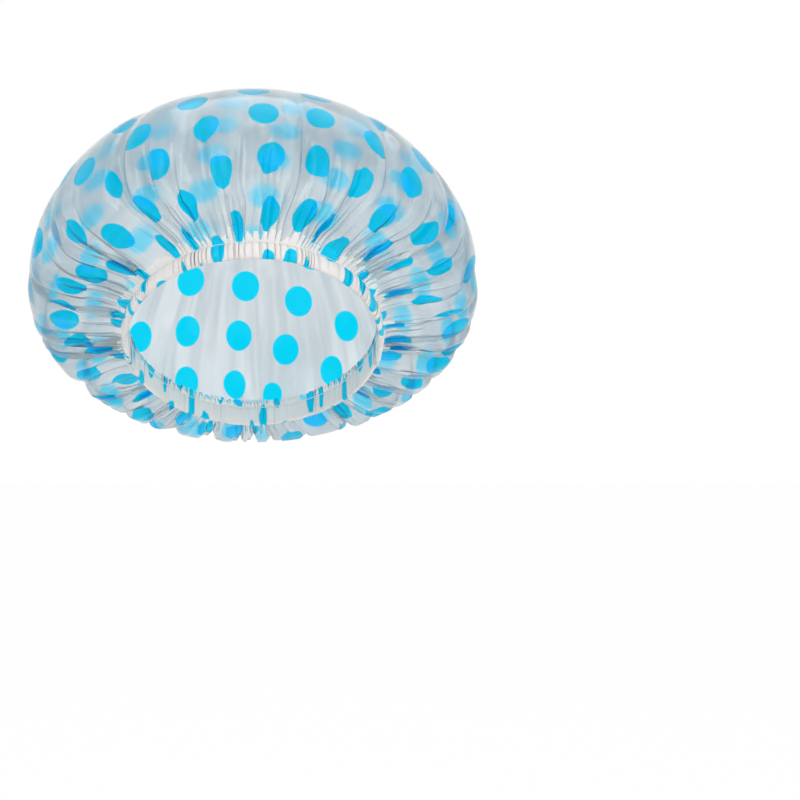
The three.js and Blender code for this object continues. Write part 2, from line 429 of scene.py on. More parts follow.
@dataclass
class GatheredFilm:
    """The one sheet of film: crown and hem, with its flat layout kept for the print."""

    form: CapForm = field(default_factory=CapForm)
    sheet_span: float = 0.66
    thickness: float = 0.0001
    cut_width: float = 0.618
    cut_area: float = 0.30
    rows: int = 58
    seam_rows: int = 8
    seam_from: float = 0.957
    first_count: int = 36
    spacing: float = 0.0027
    loosest: float = 0.9999
    slack: Change = Change(0.35, 0.8, 0.22, 1.0)
    steepness: Change = Change(0.58, 0.92, 0.42, 1.62)
    squareness: Change = Change(0.62, 0.86, 0.9, 1.5)
    narrowest: float = 0.03
    widest: float = 1.0
    fitting_steps: int = 30
    level_slope: float = 0.4
    least_squeeze: float = 0.2
    straight_orders: float = 8.0
    lean: float = 0.5
    panel_slope: float = 0.25
    panel_least: float = 0.1
    panel_orders: Change = Change(0.7, 0.95, 11.0, 60.0)
    pressed: Change = Change(0.955, 1.0, 1.0, 0.06)
    lip: Change = Change(0.88, 0.95, 0.0014, 0.0074)
    crest_orders: float = 30.0
    crest_spread: float = 1.6
    crest_least: float = 1e-7
    bunched_from: float = 0.982
    bunched_to: float = 1.027
    bunched_reach: float = 0.024
    bunched_orders: float = 190.0
    bunched_uneven: float = 0.45
    lap_room: float = 0.0019
    lap_from: float = 0.022
    lap_to: float = 0.012
    families: tuple[FoldFamily, ...] = (
        FoldFamily(15, 3.0, 0.20, 0.75, 0.72, 0.2, 0.6, MAIN_SWAYS, 0.75),
        FoldFamily(47, 2.3, 0.62, 0.90, 0.90, 0.5, 0.8, FINE_SWAYS, 0.9),
        FoldFamily(134, 4.1, 0.76, 0.95, 0.98, 1.0, 0.9, FINE_SWAYS, 1.1),
    )
    hem: tuple[HemRow, ...] = (
        HemRow(0.0013, 0.0116, 0.0004),
        HemRow(0.0023, 0.0105, 0.0008),
        HemRow(0.0030, 0.0089, 0.0010),
        HemRow(0.0034, 0.0064, 0.0011),
        HemRow(0.0032, 0.0036, 0.0010),
        HemRow(0.0025, 0.0013, 0.0008),
        HemRow(0.0012, 0.0002, 0.0005),
        HemRow(0.0002, 0.0009, 0.0001),
        HemRow(0.0000, 0.0050, 0.0001),
        HemRow(0.0001, 0.0122, 0.0001),
        HemRow(-0.0003, 0.0168, 0.0004, 0.0017),
    )

    def __post_init__(self) -> None:
        """Tabulate the even surface."""
        self.even = EvenSurface(self.form)

    def column_count(self, share: float) -> int:
        """Give the number of points in a row, doubled where the row grows long.

        Args:
            share: The row's share of the meridian.

        Returns:
            The number of points.
        """
        around = FULL_TURN * share * float(self.even.length.mean())
        times = max(around / self.spacing / self.first_count, 1)
        return self.first_count * 2 ** math.ceil(math.log2(times))

    def folds(self, share: float) -> tuple[np.ndarray, np.ndarray, np.ndarray]:
        """Fold one row of the flat sheet to the girth of the even form.

        Args:
            share: The row's share of the meridian.

        Returns:
            The row's angles on the flat sheet, turns round the head and distances off the form.
        """
        count = self.column_count(share)
        angle = np.arange(count) / count * FULL_TURN
        step = FULL_TURN / count
        radius = share * self.even.flat_radius(angle)
        girth = np.interp(share, np.linspace(0, 1, self.even.SHARES + 1), self.even.girth)
        tightness = min(girth / (radius.sum() * step), self.loosest)
        wave = self.fitted_slopes(angle, share, tightness)
        advance = self.advances(wave, tightness)
        turn = np.cumsum(advance) / advance.sum() * FULL_TURN
        turn -= low_pass(turn - angle, self.straight_orders)
        stand = np.cumsum(np.sin(wave) * radius * step)
        stand -= np.linspace(0, 1, count, endpoint=False) * (stand[-1] - stand[0])
        stand = self.level_panels(stand, wave, share)
        lean = sum(f.strength(angle, share) * f.leans(angle) for f in self.families)
        turn += self.lean * lean * stand / (girth / FULL_TURN)
        return angle, turn, stand

    def fitted_slopes(self, angle: np.ndarray, share: float, tightness: float) -> np.ndarray:
        """Widen a row's folds until they take up the film that the form has no room for.

        Args:
            angle: Angles on the flat sheet.
            share: The row's share of the meridian.
            tightness: The form's girth as a share of the row's flat length.

        Returns:
            The slopes of the widest folds that fit.
        """
        wanted = 1 - (1 - tightness) * self.slack.at(share)
        low, high = self.narrowest, self.widest
        for _ in range(self.fitting_steps):
            middle = (low + high) / 2
            roomy = np.cos(self.slopes(angle, share, middle)).mean() > wanted
            low, high = (middle, high) if roomy else (low, middle)
        return self.slopes(angle, share, low)

    def advances(self, wave: np.ndarray, tightness: float) -> np.ndarray:
        """Give how far a row's points go round the form: less in the folds than on the panels.

        Args:
            wave: The row's slopes.
            tightness: The form's girth as a share of the row's flat length.

        Returns:
            The advances, as shares of the points' spacing.
        """
        advance = np.cos(wave)
        level = np.exp(-((wave / self.level_slope) ** 2))
        spare = tightness - float((advance * level).mean())
        folded = float((advance * (1 - level)).mean()) + TINY
        squeeze = np.clip(spare / folded, self.least_squeeze, 1.0)
        return advance * (level + (1 - level) * squeeze)

    def slopes(self, angle: np.ndarray, share: float, wide: float) -> np.ndarray:
        """Give a row's slopes to the even form, from all families of folds.

        Args:
            angle: Angles on the flat sheet.
            share: The row's share of the meridian.
            wide: How wide the folds are, as a factor.

        Returns:
            The slopes, as angles.
        """
        parts = (f.strength(angle, share) * f.slopes(angle, share, wide) for f in self.families)
        return self.steepness.at(share) * np.tanh(self.squareness.at(share) * sum(parts))

    def level_panels(self, stand: np.ndarray, wave: np.ndarray, share: float) -> np.ndarray:
        """Bring the panels between the folds to the even form, so only the folds leave it.

        Args:
            stand: Distances off the form along a row.
            wave: The row's slopes, which tell folds from panels.
            share: The row's share of the meridian.

        Returns:
            The levelled distances.
        """
        panel = np.exp(-((wave / self.panel_slope) ** 2)) + self.panel_least
        orders = self.panel_orders.at(share)
        return stand - low_pass(stand * panel, orders) / low_pass(panel, orders)

    def crests(self, stand: np.ndarray) -> np.ndarray:
        """Tell the gathers' crests from their valleys.

        Args:
            stand: Distances off the form along a row.

        Returns:
            Values from -1 in the valleys to 1 on the crests.
        """
        fine = stand - low_pass(stand, self.crest_orders)
        return np.clip(fine / (self.crest_spread * fine.std() + self.crest_least), -1, 1)

    def crown_row(self, share: float) -> tuple[np.ndarray, np.ndarray, np.ndarray]:
        """Give one folded row of the crown.

        Args:
            share: The row's share of the meridian.

        Returns:
            The row's points, its flat places and its crests.
        """
        angle, turn, stand = self.folds(share)
        points = self.even.read(self.even.points, turn, np.full(len(turn), share))
        normals = self.even.read(self.even.normals, turn, np.full(len(turn), share))
        lip = self.lip.at(share)
        flush = np.where(stand > 0, lip * np.tanh(stand / lip), stand)
        points = points + normals * (flush * self.pressed.at(share))[:, None]
        return points, self.flat_places(angle, share, 0.0), self.crests(stand)

    def flat_places(self, angle: np.ndarray, share: float, beyond: float) -> np.ndarray:
        """Give places on the flat sheet.

        Args:
            angle: Angles on the flat sheet.
            share: Share of the meridian.
            beyond: Distance past the seam.

        Returns:
            Places, with x and y in the last axis.
        """
        radius = share * self.even.flat_radius(angle) + beyond
        return np.stack([radius * np.sin(angle), -radius * np.cos(angle)], axis=-1)

    def hem_points(self, row: HemRow, turn: np.ndarray, pucker: np.ndarray) -> np.ndarray:
        """Give one row of the hem, which makes room for the elastic's lap at the nape.

        Args:
            row: The row.
            turn: Angles round the head.
            pucker: The gathers' crests and valleys.

        Returns:
            The row's points.
        """
        aside = np.abs(np.sin(turn)) * self.form.opening_width / 2
        at_lap = smooth_step(-aside, -self.lap_from, -self.lap_to) * (np.cos(turn) < 0)
        outermost = max(one.offset for one in self.hem)
        room = self.lap_room * at_lap * max(row.offset, 0.0) / outermost
        height = row.height + row.ripple * pucker
        return self.form.beside_opening(turn, row.offset + row.pucker * pucker + room, height)

    def row_shares(self) -> np.ndarray:
        """Space the crown's rows, which lie closer together just above the seam.

        Returns:
            The rows' shares of the meridian.
        """
        crown = np.arange(1, self.rows + 1) / self.rows
        crown = crown[crown < self.seam_from]
        return np.concatenate([crown, np.linspace(crown[-1], 1.0, self.seam_rows + 1)[1:]])

    def mesh_rows(self) -> FilmMesh:
        """Lay out the crown's rows and the hem's rows.

        Returns:
            The film.
        """
        film = FilmMesh()
        film.add_row(self.even.points[0, :1], np.zeros((1, 2)), np.zeros(1), 0.0)
        for share in self.row_shares():
            film.add_row(*self.crown_row(share), share)
        angle, turn, stand = self.folds(1.0)
        crests = self.crests(stand)
        before = HemRow(self.form.seam_offset, self.form.seam_height, 0.0)
        beyond = 0.0
        for row in self.hem:
            beyond += math.hypot(row.offset - before.offset, row.height - before.height)
            points = self.hem_points(row, turn, crests)
            film.add_row(points, self.flat_places(angle, 1.0, beyond), crests, 1.0 + beyond)
            before = row
        return film

    def bunched(self, film: FilmMesh) -> list[bool]:
        """Tell where the film is bunched: in the hem, and along the gathers' crests just above it.

        Args:
            film: The film.

        Returns:
            For each face, whether it is bunched.
        """
        share = np.concatenate(film.shares)
        middle, *rows = film.crests
        crest = np.concatenate([middle, *(low_pass(row, self.bunched_orders) for row in rows)])
        across, along = np.concatenate(film.flat).T
        angle = np.arctan2(across, -along)
        uneven = sum(sway.depth * sway.wave(angle, sway.depth_from, 3) for sway in FINE_SWAYS)
        crest = crest + self.bunched_uneven * uneven
        reached = share + self.bunched_reach * crest * (share < 1)
        means = (reached[list(face)].mean() for face in film.faces)
        return [bool(self.bunched_from < mean < self.bunched_to) for mean in means]

    def build(self) -> bpy.types.Object:
        """Make the film's object.

        Returns:
            The film, as a thin closed sheet.
        """
        film = self.mesh_rows()
        points = self.form.worn(np.concatenate(film.points))
        flat = np.concatenate(film.flat)
        mesh = bpy.data.meshes.new("cap_film")
        mesh.from_pydata(points.tolist(), [], film.faces)
        layer = mesh.uv_layers.new(name="flat_sheet")
        corners = np.empty(len(mesh.loops), int)
        mesh.loops.foreach_get("vertex_index", corners)
        layer.data.foreach_set("uv", (0.5 + flat[corners] / self.sheet_span).ravel())
        for name, rows in (("share", film.shares), ("crest", film.crests)):
            values = mesh.attributes.new(name, "FLOAT", "POINT")
            values.data.foreach_set("value", np.concatenate(rows))
        obj = bpy.data.objects.new("cap_film", mesh)
        bpy.context.scene.collection.objects.link(obj)
        mesh.polygons.foreach_set("use_smooth", [True] * len(mesh.polygons))
        mesh.polygons.foreach_set("material_index", np.array(self.bunched(film), int))
        wall = obj.modifiers.new("wall", "SOLIDIFY")
        wall.thickness = self.thickness
        wall.offset = 0
        apply_modifiers(obj)
        LOG.info("%s: %d faces", obj.name, len(obj.data.polygons))
        return obj

    def dress(self, obj: bpy.types.Object, finish: "FilmFinish") -> None:
        """Args:
            obj: The film.
            finish: The printed film's finish.
        """
        for state in FilmState:
            obj.data.materials.append(finish.material(self.sheet_span, state))
        place(obj, Slot.FILM, "film_cap")


def deselect() -> None:
    """Deselect everything, because the frame's nodes come in selected."""
    if bpy.context.object and bpy.context.object.mode != "OBJECT":
        bpy.ops.object.mode_set(mode="OBJECT")
    bpy.ops.object.select_all(action="DESELECT")


def make_active(obj: bpy.types.Object) -> None:
    """Select one object alone and make it active.

    Args:
        obj: The object.
    """
    deselect()
    obj.select_set(True)
    bpy.context.view_layer.objects.active = obj


def apply_modifiers(obj: bpy.types.Object) -> None:
    """Apply an object's modifiers in order.

    Args:
        obj: The object.
    """
    make_active(obj)
    for name in [modifier.name for modifier in obj.modifiers]:
        bpy.ops.object.modifier_apply(modifier=name)


def join(copies: list[bpy.types.Object], name: str) -> bpy.types.Object:
    """Join placed copies into one piece at the origin.

    Args:
        copies: The copies.
        name: The piece's name.

    Returns:
        The piece.
    """
    deselect()
    for copy in copies:
        copy.select_set(True)
    bpy.context.view_layer.objects.active = copies[0]
    bpy.ops.object.join()
    obj = bpy.context.object
    obj.name = obj.data.name = name
    bpy.ops.object.transform_apply(location=True, rotation=True, scale=True)
    return obj


def place(obj: bpy.types.Object, slot: Slot, *nodes: str) -> None:
    """Fasten a piece to the cap's body.

    Args:
        obj: The piece.
        slot: The record's slot for its finish; not used.
        nodes: The solids that it stands for.
    """
    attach(obj, BODY)
    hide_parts(*nodes)
    LOG.info("%s stands for %s", obj.name, ", ".join(nodes))


@dataclass
class ElasticLoop:
    """The woven elastic in the casing: one strip whose two ends lap at the nape."""

    form: CapForm = field(default_factory=CapForm)
    width: float = 0.008
    thickness: float = 0.0009
    inside: float = 0.0004
    base: float = 0.0016
    columns: int = 300
    ribs: int = 8
    rib_depth: float = 0.00010
    lap_length: float = 0.018
    lap_step: float = 0.0012
    sharpest: float = math.radians(50)

    def build(self) -> bpy.types.Object:
        """Model the strip from a flat grid that is wound round the opening.

        Returns:
            The elastic loop.
        """
        deselect()
        rows = 2 * self.ribs
        bpy.ops.mesh.primitive_grid_add(x_subdivisions=self.columns, y_subdivisions=rows, size=1)
        obj = bpy.context.object
        obj.name = obj.data.name = "elastic_loop"
        self.wind(obj, rows)
        bpy.ops.object.mode_set(mode="EDIT")
        bpy.ops.mesh.select_all(action="SELECT")
        bpy.ops.mesh.normals_make_consistent(inside=False)
        bpy.ops.object.mode_set(mode="OBJECT")
        wall = obj.modifiers.new("wall", "SOLIDIFY")
        wall.thickness = self.thickness - self.rib_depth
        wall.offset = 0
        apply_modifiers(obj)
        bpy.ops.object.shade_smooth_by_angle(angle=self.sharpest)
        tilt(obj, self.form)
        return obj

    def wind(self, obj: bpy.types.Object, rows: int) -> None:
        """Wind the flat grid round the opening, so that its last end climbs onto its first.

        Args:
            obj: The grid, one unit wide and long.
            rows: The grid's steps across the strip, two for each rib.
        """
        points = np.empty(len(obj.data.vertices) * 3)
        obj.data.vertices.foreach_get("co", points)
        along, across, _ = points.reshape(-1, 3).T + 0.5
        lap_turn = self.lap_length / (self.form.opening_width / 2)
        turned = along * (FULL_TURN + lap_turn)
        climb = smooth_step(turned, FULL_TURN - lap_turn, FULL_TURN)
        rib = self.rib_depth * (np.round(across * rows) % 2 - 0.5)
        offset = self.inside + self.thickness / 2 + self.lap_step * climb + rib
        turn = math.pi - lap_turn / 2 + turned
        wound = self.form.beside_opening(turn, offset, self.base + self.width * across)
        obj.data.vertices.foreach_set("co", wound.ravel())

    def dress(self, obj: bpy.types.Object, finish: "ElasticFinish") -> None:
        """Give the elastic its woven finish and fasten it."""
        obj.data.materials.append(finish.material())
        place(obj, Slot.ELASTIC, "elastic_band")


def tilt(obj: bpy.types.Object, form: CapForm) -> None:
    """Tip a piece from the level opening to the wearing tilt, and apply the turn.

    Args:
        obj: The piece, modelled on the level opening.
        form: The even form, which holds the tilt.
    """
    make_active(obj)
    obj.rotation_euler = (-form.wearing_tilt, 0, 0)
    bpy.ops.object.transform_apply(location=True, rotation=True, scale=True)


@dataclass
class StitchLine:
    """A line of lockstitches round the hem."""

    name: str
    node: str
    offset: float
    height: float
    form: CapForm = field(default_factory=CapForm)
    diameter: float = 0.00045
    stitches: int = 187
    sides: int = 6
    gap: float = 0.12
    bow: float = 0.0001
    sink: float = 0.8
    profile: tuple[tuple[float, float], ...] = ((0.12, 0.8), (0.38, 0.2), (0.38, -0.2), (0.12, -0.8))

    def one_stitch(self, length: float) -> bpy.types.Object:
        """Model one stitch along X, with its ends drawn into the film.

        Args:
            length: The stitch's length.

        Returns:
            The stitch.
        """
        deselect()
        radius = self.diameter / 2
        bpy.ops.mesh.primitive_circle_add(vertices=self.sides, radius=radius, fill_type="NGON")
        obj = bpy.context.object
        obj.rotation_euler = (0, math.pi / 2, 0)
        obj.location = (-length / 2, -self.diameter * self.sink, 0)
        bpy.ops.object.transform_apply(location=True, rotation=True, scale=True)
        bpy.ops.object.mode_set(mode="EDIT")
        bpy.ops.mesh.select_all(action="SELECT")
        rise = self.diameter * self.sink + self.bow
        for along, out in self.profile:
            move = {"value": (along * length, out * rise, 0)}
            bpy.ops.mesh.extrude_region_move(TRANSFORM_OT_translate=move)
        bpy.ops.mesh.select_all(action="SELECT")
        bpy.ops.mesh.normals_make_consistent(inside=False)
        bpy.ops.object.mode_set(mode="OBJECT")
        bpy.ops.object.shade_smooth()
        return obj

    def build(self) -> bpy.types.Object:
        """Model the whole line from copies of one stitch.

        Returns:
            The line of stitches.
        """
        turns = (np.arange(self.stitches) + 0.5) / self.stitches * FULL_TURN
        places = self.form.beside_opening(turns, self.offset, self.height)
        around = np.roll(places, -1, axis=0) - np.roll(places, 1, axis=0)
        length = float(np.linalg.norm(around, axis=1).mean()) / 2 * (1 - self.gap)
        model = self.one_stitch(length)
        copies = []
        for middle, along in zip(places, around):
            copy = self.copy_stitch(model)
            copy.location = middle
            copy.rotation_euler = (0, 0, math.atan2(along[1], along[0]) + math.pi)
            copies.append(copy)
        bpy.data.objects.remove(model)
        obj = join(copies, self.name)
        tilt(obj, self.form)
        return obj

    @staticmethod
    def copy_stitch(model: bpy.types.Object) -> bpy.types.Object:
        """Copy a stitch with its own mesh, and put it in the scene.

        Args:
            model: The stitch.

        Returns:
            The copy.
        """
        copy = model.copy()
        copy.data = model.data.copy()
        bpy.context.scene.collection.objects.link(copy)
        return copy

    def dress(self, obj: bpy.types.Object, finish: "ThreadFinish") -> None:
        """Give the stitches their finish and fasten them."""
        obj.data.materials.append(finish.material())
        place(obj, Slot.THREAD, self.node)


@dataclass
class ZigzagTack:
    """The zigzag that sews the elastic's lapped ends together."""

    form: CapForm = field(default_factory=CapForm)
    length: float = 0.009
    rise: float = 0.005
    legs: int = 7
    offset: float = 0.00295
    middle: float = 0.0056

    def build(self, line: StitchLine) -> bpy.types.Object:
        """Model the zigzag from copies of one stitch.

        Args:
            line: The line of stitches whose thread is used.

        Returns:
            The zigzag.
        """
        steps = np.arange(self.legs + 1)
        aside = (steps / self.legs - 0.5) * self.length
        turns = math.pi + aside / (self.form.opening_width / 2)
        heights = self.middle + np.where(steps % 2, 0.5, -0.5) * self.rise
        corners = self.form.beside_opening(turns, self.offset, heights)
        legs = np.diff(corners, axis=0)
        model = line.one_stitch(float(np.linalg.norm(legs, axis=1).mean()))
        outward = Matrix.Rotation(math.pi, 4, "X")
        copies = []
        for start, leg in zip(corners, legs):
            heading = math.atan2(leg[1], leg[0])
            dip = math.atan2(leg[2], math.hypot(leg[0], leg[1]))
            lean = Matrix.Rotation(heading, 4, "Z") @ Matrix.Rotation(-dip, 4, "Y")
            copy = line.copy_stitch(model)
            copy.matrix_world = Matrix.Translation(start + leg / 2) @ lean @ outward
            copies.append(copy)
        bpy.data.objects.remove(model)
        obj = join(copies, "elastic_tack")
        tilt(obj, self.form)
        return obj

    def dress(self, obj: bpy.types.Object, finish: "ThreadFinish") -> None:
        """Give the zigzag its finish and fasten it."""
        obj.data.materials.append(finish.material())
        place(obj, Slot.THREAD, "elastic_tack_thread")


class NodeDesk:
    """A node tree that is laid out in code."""

    def __init__(self, tree: bpy.types.NodeTree) -> None:
        """Take a tree to work on."""
        self.tree = tree

    def add(self, kind: str, inputs: dict | None = None, **settings: object) -> bpy.types.Node:
        """Add a node.

        Args:
            kind: The node's type.
            inputs: Values or sockets by the input's name or number.
            settings: The node's own settings.

        Returns:
            The node.
        """
        node = self.tree.nodes.new(kind)
        for name, value in settings.items():
            setattr(node, name, value)
        self.fill(node, inputs or {})
        return node

    def fill(self, node: bpy.types.Node, inputs: dict) -> None:
        """Fill a node's inputs: a socket is linked, and a value is set on the input itself.

        Args:
            node: The node.
            inputs: Values or sockets by the input's name or number.
        """
        for key, value in inputs.items():
            if isinstance(value, bpy.types.NodeSocket):
                self.tree.links.new(value, node.inputs[key])
            else:
                node.inputs[key].default_value = value

    def math(self, operation: str, *values: object) -> bpy.types.NodeSocket:
        """Add a math node and give its result."""
        return self.add("ShaderNodeMath", dict(enumerate(values)), operation=operation).outputs[0]

    def vector(self, operation: str, *values: object) -> bpy.types.NodeSocket:
        """Add a vector math node and give its result, which is a number for a length."""
        node = self.add("ShaderNodeVectorMath", dict(enumerate(values)), operation=operation)
        return node.outputs["Value" if operation == "LENGTH" else "Vector"]

    def blend(self, share: object, first: object, second: object) -> bpy.types.NodeSocket:
        """Mix two colours and give the result.

        Args:
            share: The second colour's share.
            first: The first colour, as a socket or a tuple.
            second: The second colour, as a socket or a tuple.

        Returns:
            The mixed colour.
        """
        inputs = {0: share}
        for key, colour in ((6, first), (7, second)):
            inputs[key] = (*colour, 1) if isinstance(colour, tuple) else colour
        return self.add("ShaderNodeMix", inputs, data_type="RGBA").outputs[2]

    def ramp(self, value: object, change: Change) -> bpy.types.NodeSocket:
        """Turn a measure into a value that changes smoothly along it.

        Args:
            value: The measure.
            change: The change.

        Returns:
            The changed value.
        """
        inputs = {0: value, 1: change.start, 2: change.end, 3: change.first, 4: change.last}
        node = self.add("ShaderNodeMapRange", inputs, interpolation_type="SMOOTHSTEP")
        return node.outputs[0]

    def noise(self, spot: object, scale: object, detail: float) -> bpy.types.NodeSocket:
        """Add a noise texture and give its values."""
        inputs = {"Vector": spot, "Scale": scale, "Detail": detail}
        return self.add("ShaderNodeTexNoise", inputs).outputs[0]

    def grain(self, scale: float) -> bpy.types.Node:
        """Add the shared grain at a scale."""
        return self.add("ShaderNodeGroup", {"Scale": scale}, node_tree=surface_grain())

    def bump(self, height: object, strength: float, depth: float) -> bpy.types.NodeSocket:
        """Add a bump and give its normal."""
        inputs = {"Height": height, "Strength": strength, "Distance": depth}
        return self.add("ShaderNodeBump", inputs).outputs[0]


def new_material(name: str) -> tuple[bpy.types.Material, NodeDesk, bpy.types.Node]:
    """Start a material.

    Args:
        name: The material's name.

    Returns:
        The material, its desk and its principled shader.
    """
    material = bpy.data.materials.new(name)
    material.use_nodes = True
    desk = NodeDesk(material.node_tree)
    return material, desk, material.node_tree.nodes["Principled BSDF"]


def surface_grain() -> bpy.types.NodeTree:
    """Give the shared group for fine grain, made once.

    Returns:
        The group, with Scale in, and Height and Shade out.
    """
    name = "surface_grain"
    if name in bpy.data.node_groups:
        return bpy.data.node_groups[name]
    group = bpy.data.node_groups.new(name, "ShaderNodeTree")
    for socket, way in (("Scale", "INPUT"), ("Height", "OUTPUT"), ("Shade", "OUTPUT")):
        group.interface.new_socket(socket, in_out=way, socket_type="NodeSocketFloat")
    desk = NodeDesk(group)
    scale = desk.add("NodeGroupInput").outputs["Scale"]
    spot = desk.add("ShaderNodeTexCoord").outputs["Object"]
    fine = desk.noise(spot, scale, detail=3.0)
    broad = desk.noise(spot, desk.math("MULTIPLY", scale, BROAD_GRAIN), detail=2.0)
    desk.add("NodeGroupOutput", {"Height": fine, "Shade": broad})
    return group


@dataclass(frozen=True)
class FilmFinish:
    """Frosted film, printed with round dots that are laid out on the flat sheet."""

    film: Triple = (0.765, 0.822, 0.855)
    # The darker film: the film's own mottling in the crown's middle, and painted shade along the
    # streaks.
    film_mottle_and_shade: Triple = (0.61, 0.686, 0.73)
    gathered: Triple = (0.94, 0.955, 0.965)
    # The darker gathered film: painted shade along the streaks.
    gathered_shade: Triple = (0.84, 0.873, 0.894)
    # Painted shade for the gathers' valleys near the seam.
    valley_shade: Triple = (0.70, 0.75, 0.775)
    hem: Triple = (0.99, 0.968, 0.945)
    ink: Triple = (0.0, 0.74, 1.0)
    ink_deep: Triple = (0.0, 0.70, 1.0)
    gathering: Change = Change(0.74, 0.93)
    # How deep in the valleys and how near the seam the painted valley shade reaches.
    valley_shade_depth: Change = Change(0.1, -1.0, 0.0, 0.5)
    valley_shade_reach: Change = Change(0.88, 0.96)
    # The hem's white runs up the gathers' crests: partly bunched film, partly a painted highlight.
    crest_highlight_reach: float = 0.032
    hem_white_and_crest_highlight: Change = Change(0.966, 0.988)
    roughness: Change = Change(0.3, 0.7, 0.105, 0.195)
    gloss: float = 0.4
    gloss_roughness: float = 0.12
    clear: float = 0.92
    clear_bunched: float = 0.3
    refraction: float = 1.2
    grain_scale: float = 900.0
    grain_strength: float = 0.06
    grain_depth: float = 0.0004
    # Streaks of painted light and painted shade down the folds, which give way to the film's own
    # mottling in the crown's middle.
    streaks_around: float = 13.0
    streaks_down: float = 2.4
    streaks_begin: Change = Change(0.15, 0.5)
    streaks_shade: Change = Change(0.34, 0.66)
    dot_radius: float = 0.0106
    dot_edge: float = 0.0003
    pitch_across: float = 0.0423
    pitch_along: float = 0.0350
    print_turn: float = math.radians(11.2)
    print_x: float = -0.0344
    print_y: float = -0.1739

    def dots(self, desk: NodeDesk, span: float) -> bpy.types.NodeSocket:
        """Lay out the printed dots.

        Args:
            desk: The material's desk.
            span: The width of the flat sheet that fills the UV map.

        Returns:
            The dots' mask.
        """
        sheet = desk.add("ShaderNodeUVMap", uv_map="flat_sheet").outputs[0]
        metres = desk.vector("MULTIPLY", sheet, (span, span, 0))
        corner = (span / 2 + self.print_x, span / 2 + self.print_y, 0)
        turn = {"Vector": desk.vector("SUBTRACT", metres, corner), "Angle": -self.print_turn}
        turned = desk.add("ShaderNodeVectorRotate", turn, rotation_type="Z_AXIS").outputs[0]
        pitch = (self.pitch_across, self.pitch_along, 1)
        cells = desk.vector("DIVIDE", turned, pitch)
        middles = desk.vector("FLOOR", desk.vector("ADD", cells, (0.5, 0.5, 0)))
        away = desk.vector("MULTIPLY", desk.vector("SUBTRACT", cells, middles), pitch)
        edge = Change(self.dot_radius - self.dot_edge, self.dot_radius + self.dot_edge, 1.0, 0.0)
        return desk.ramp(desk.vector("LENGTH", away), edge)

    def streaks(
        self, desk: NodeDesk, share: bpy.types.NodeSocket, mottle: bpy.types.NodeSocket
    ) -> bpy.types.NodeSocket:
        """Lay out streaks of painted light and painted shade that run from the crown down along the
        folds.

        Args:
            desk: The material's desk.
            share: The share of the meridian.
            mottle: The soft mottling that takes the streaks' place in the crown's middle.

        Returns:
            The socket with the streaks, from 0 on the lighter film to 1 on the darker film: painted
            light and painted shade along the streaks, and the film's own mottling in the crown's
            middle.
        """
        sheet = desk.add("ShaderNodeUVMap", uv_map="flat_sheet").outputs[0]
        heading = desk.vector("NORMALIZE", desk.vector("SUBTRACT", sheet, (0.5, 0.5, 0)))
        around = desk.vector("MULTIPLY", heading, (self.streaks_around, self.streaks_around, 0))
        down = desk.math("MULTIPLY", share, self.streaks_down)
        along = desk.add("ShaderNodeCombineXYZ", {2: down}).outputs[0]
        noise = desk.noise(desk.vector("ADD", around, along), scale=1.0, detail=3.0)
        begun = desk.ramp(share, self.streaks_begin)
        mixed = desk.math("MULTIPLY_ADD", begun, desk.math("SUBTRACT", noise, mottle), mottle)
        return desk.ramp(mixed, self.streaks_shade)

    def ground(self, desk: NodeDesk, grain: bpy.types.Node) -> bpy.types.NodeSocket:
        """Colour the film under the print.

        The gathers' valleys near the seam get painted shade, and the hem's white runs up their
        crests, partly as bunched film and partly as a painted highlight.

        Args:
            desk: The material's desk.
            grain: The grain's group node.

        Returns:
            The ground colour.
        """
        share = desk.add("ShaderNodeAttribute", attribute_name="share").outputs["Fac"]
        # clear runs from painted light at 0 to painted shade at 1 along the streaks; in the crown's
        # middle it follows the film's own mottling.
        clear = self.streaks(desk, share, grain.outputs["Shade"])
        single = desk.blend(clear, self.film, self.film_mottle_and_shade)
        gathered = desk.blend(clear, self.gathered, self.gathered_shade)
        film = desk.blend(desk.ramp(share, self.gathering), single, gathered)
        crest = desk.add("ShaderNodeAttribute", attribute_name="crest").outputs["Fac"]
        # Painted shade: the film darkens in the gathers' valleys near the seam.
        valley_shade_share = desk.ramp(crest, self.valley_shade_depth)
        near_seam = desk.ramp(share, self.valley_shade_reach)
        film = desk.blend(desk.math("MULTIPLY", valley_shade_share, near_seam), film, self.valley_shade)
        # The hem's own white, carried up the gathers' crests as bunched film and as a painted
        # highlight.
        reached = desk.math("MULTIPLY_ADD", crest, self.crest_highlight_reach, share)
        return desk.blend(desk.ramp(reached, self.hem_white_and_crest_highlight), film, self.hem)

    def material(self, span: float, state: FilmState) -> bpy.types.Material:
        """Make the printed film.

        Args:
            span: The width of the flat sheet that fills the UV map.
            state: How the film lies, because bunched film lets less light through.

        Returns:
            The material.
        """
        material, desk, shader = new_material(state.value)
        mask = self.dots(desk, span)
        grain = desk.grain(self.grain_scale)
        ink = desk.blend(grain.outputs["Shade"], self.ink, self.ink_deep)
        inputs = {
            "Base Color": desk.blend(mask, self.ground(desk, grain), ink),
            "Roughness": desk.ramp(grain.outputs["Shade"], self.roughness),
            "Normal": desk.bump(grain.outputs["Height"], self.grain_strength, self.grain_depth),
            "Coat Weight": desk.ramp(mask, Change(0.0, 1.0, self.gloss, 0.0)),
            "Coat Roughness": self.gloss_roughness,
            "Transmission Weight": self.clear if state is FilmState.SINGLE else self.clear_bunched,
            "IOR": self.refraction,
        }
        desk.fill(shader, inputs)
        return material


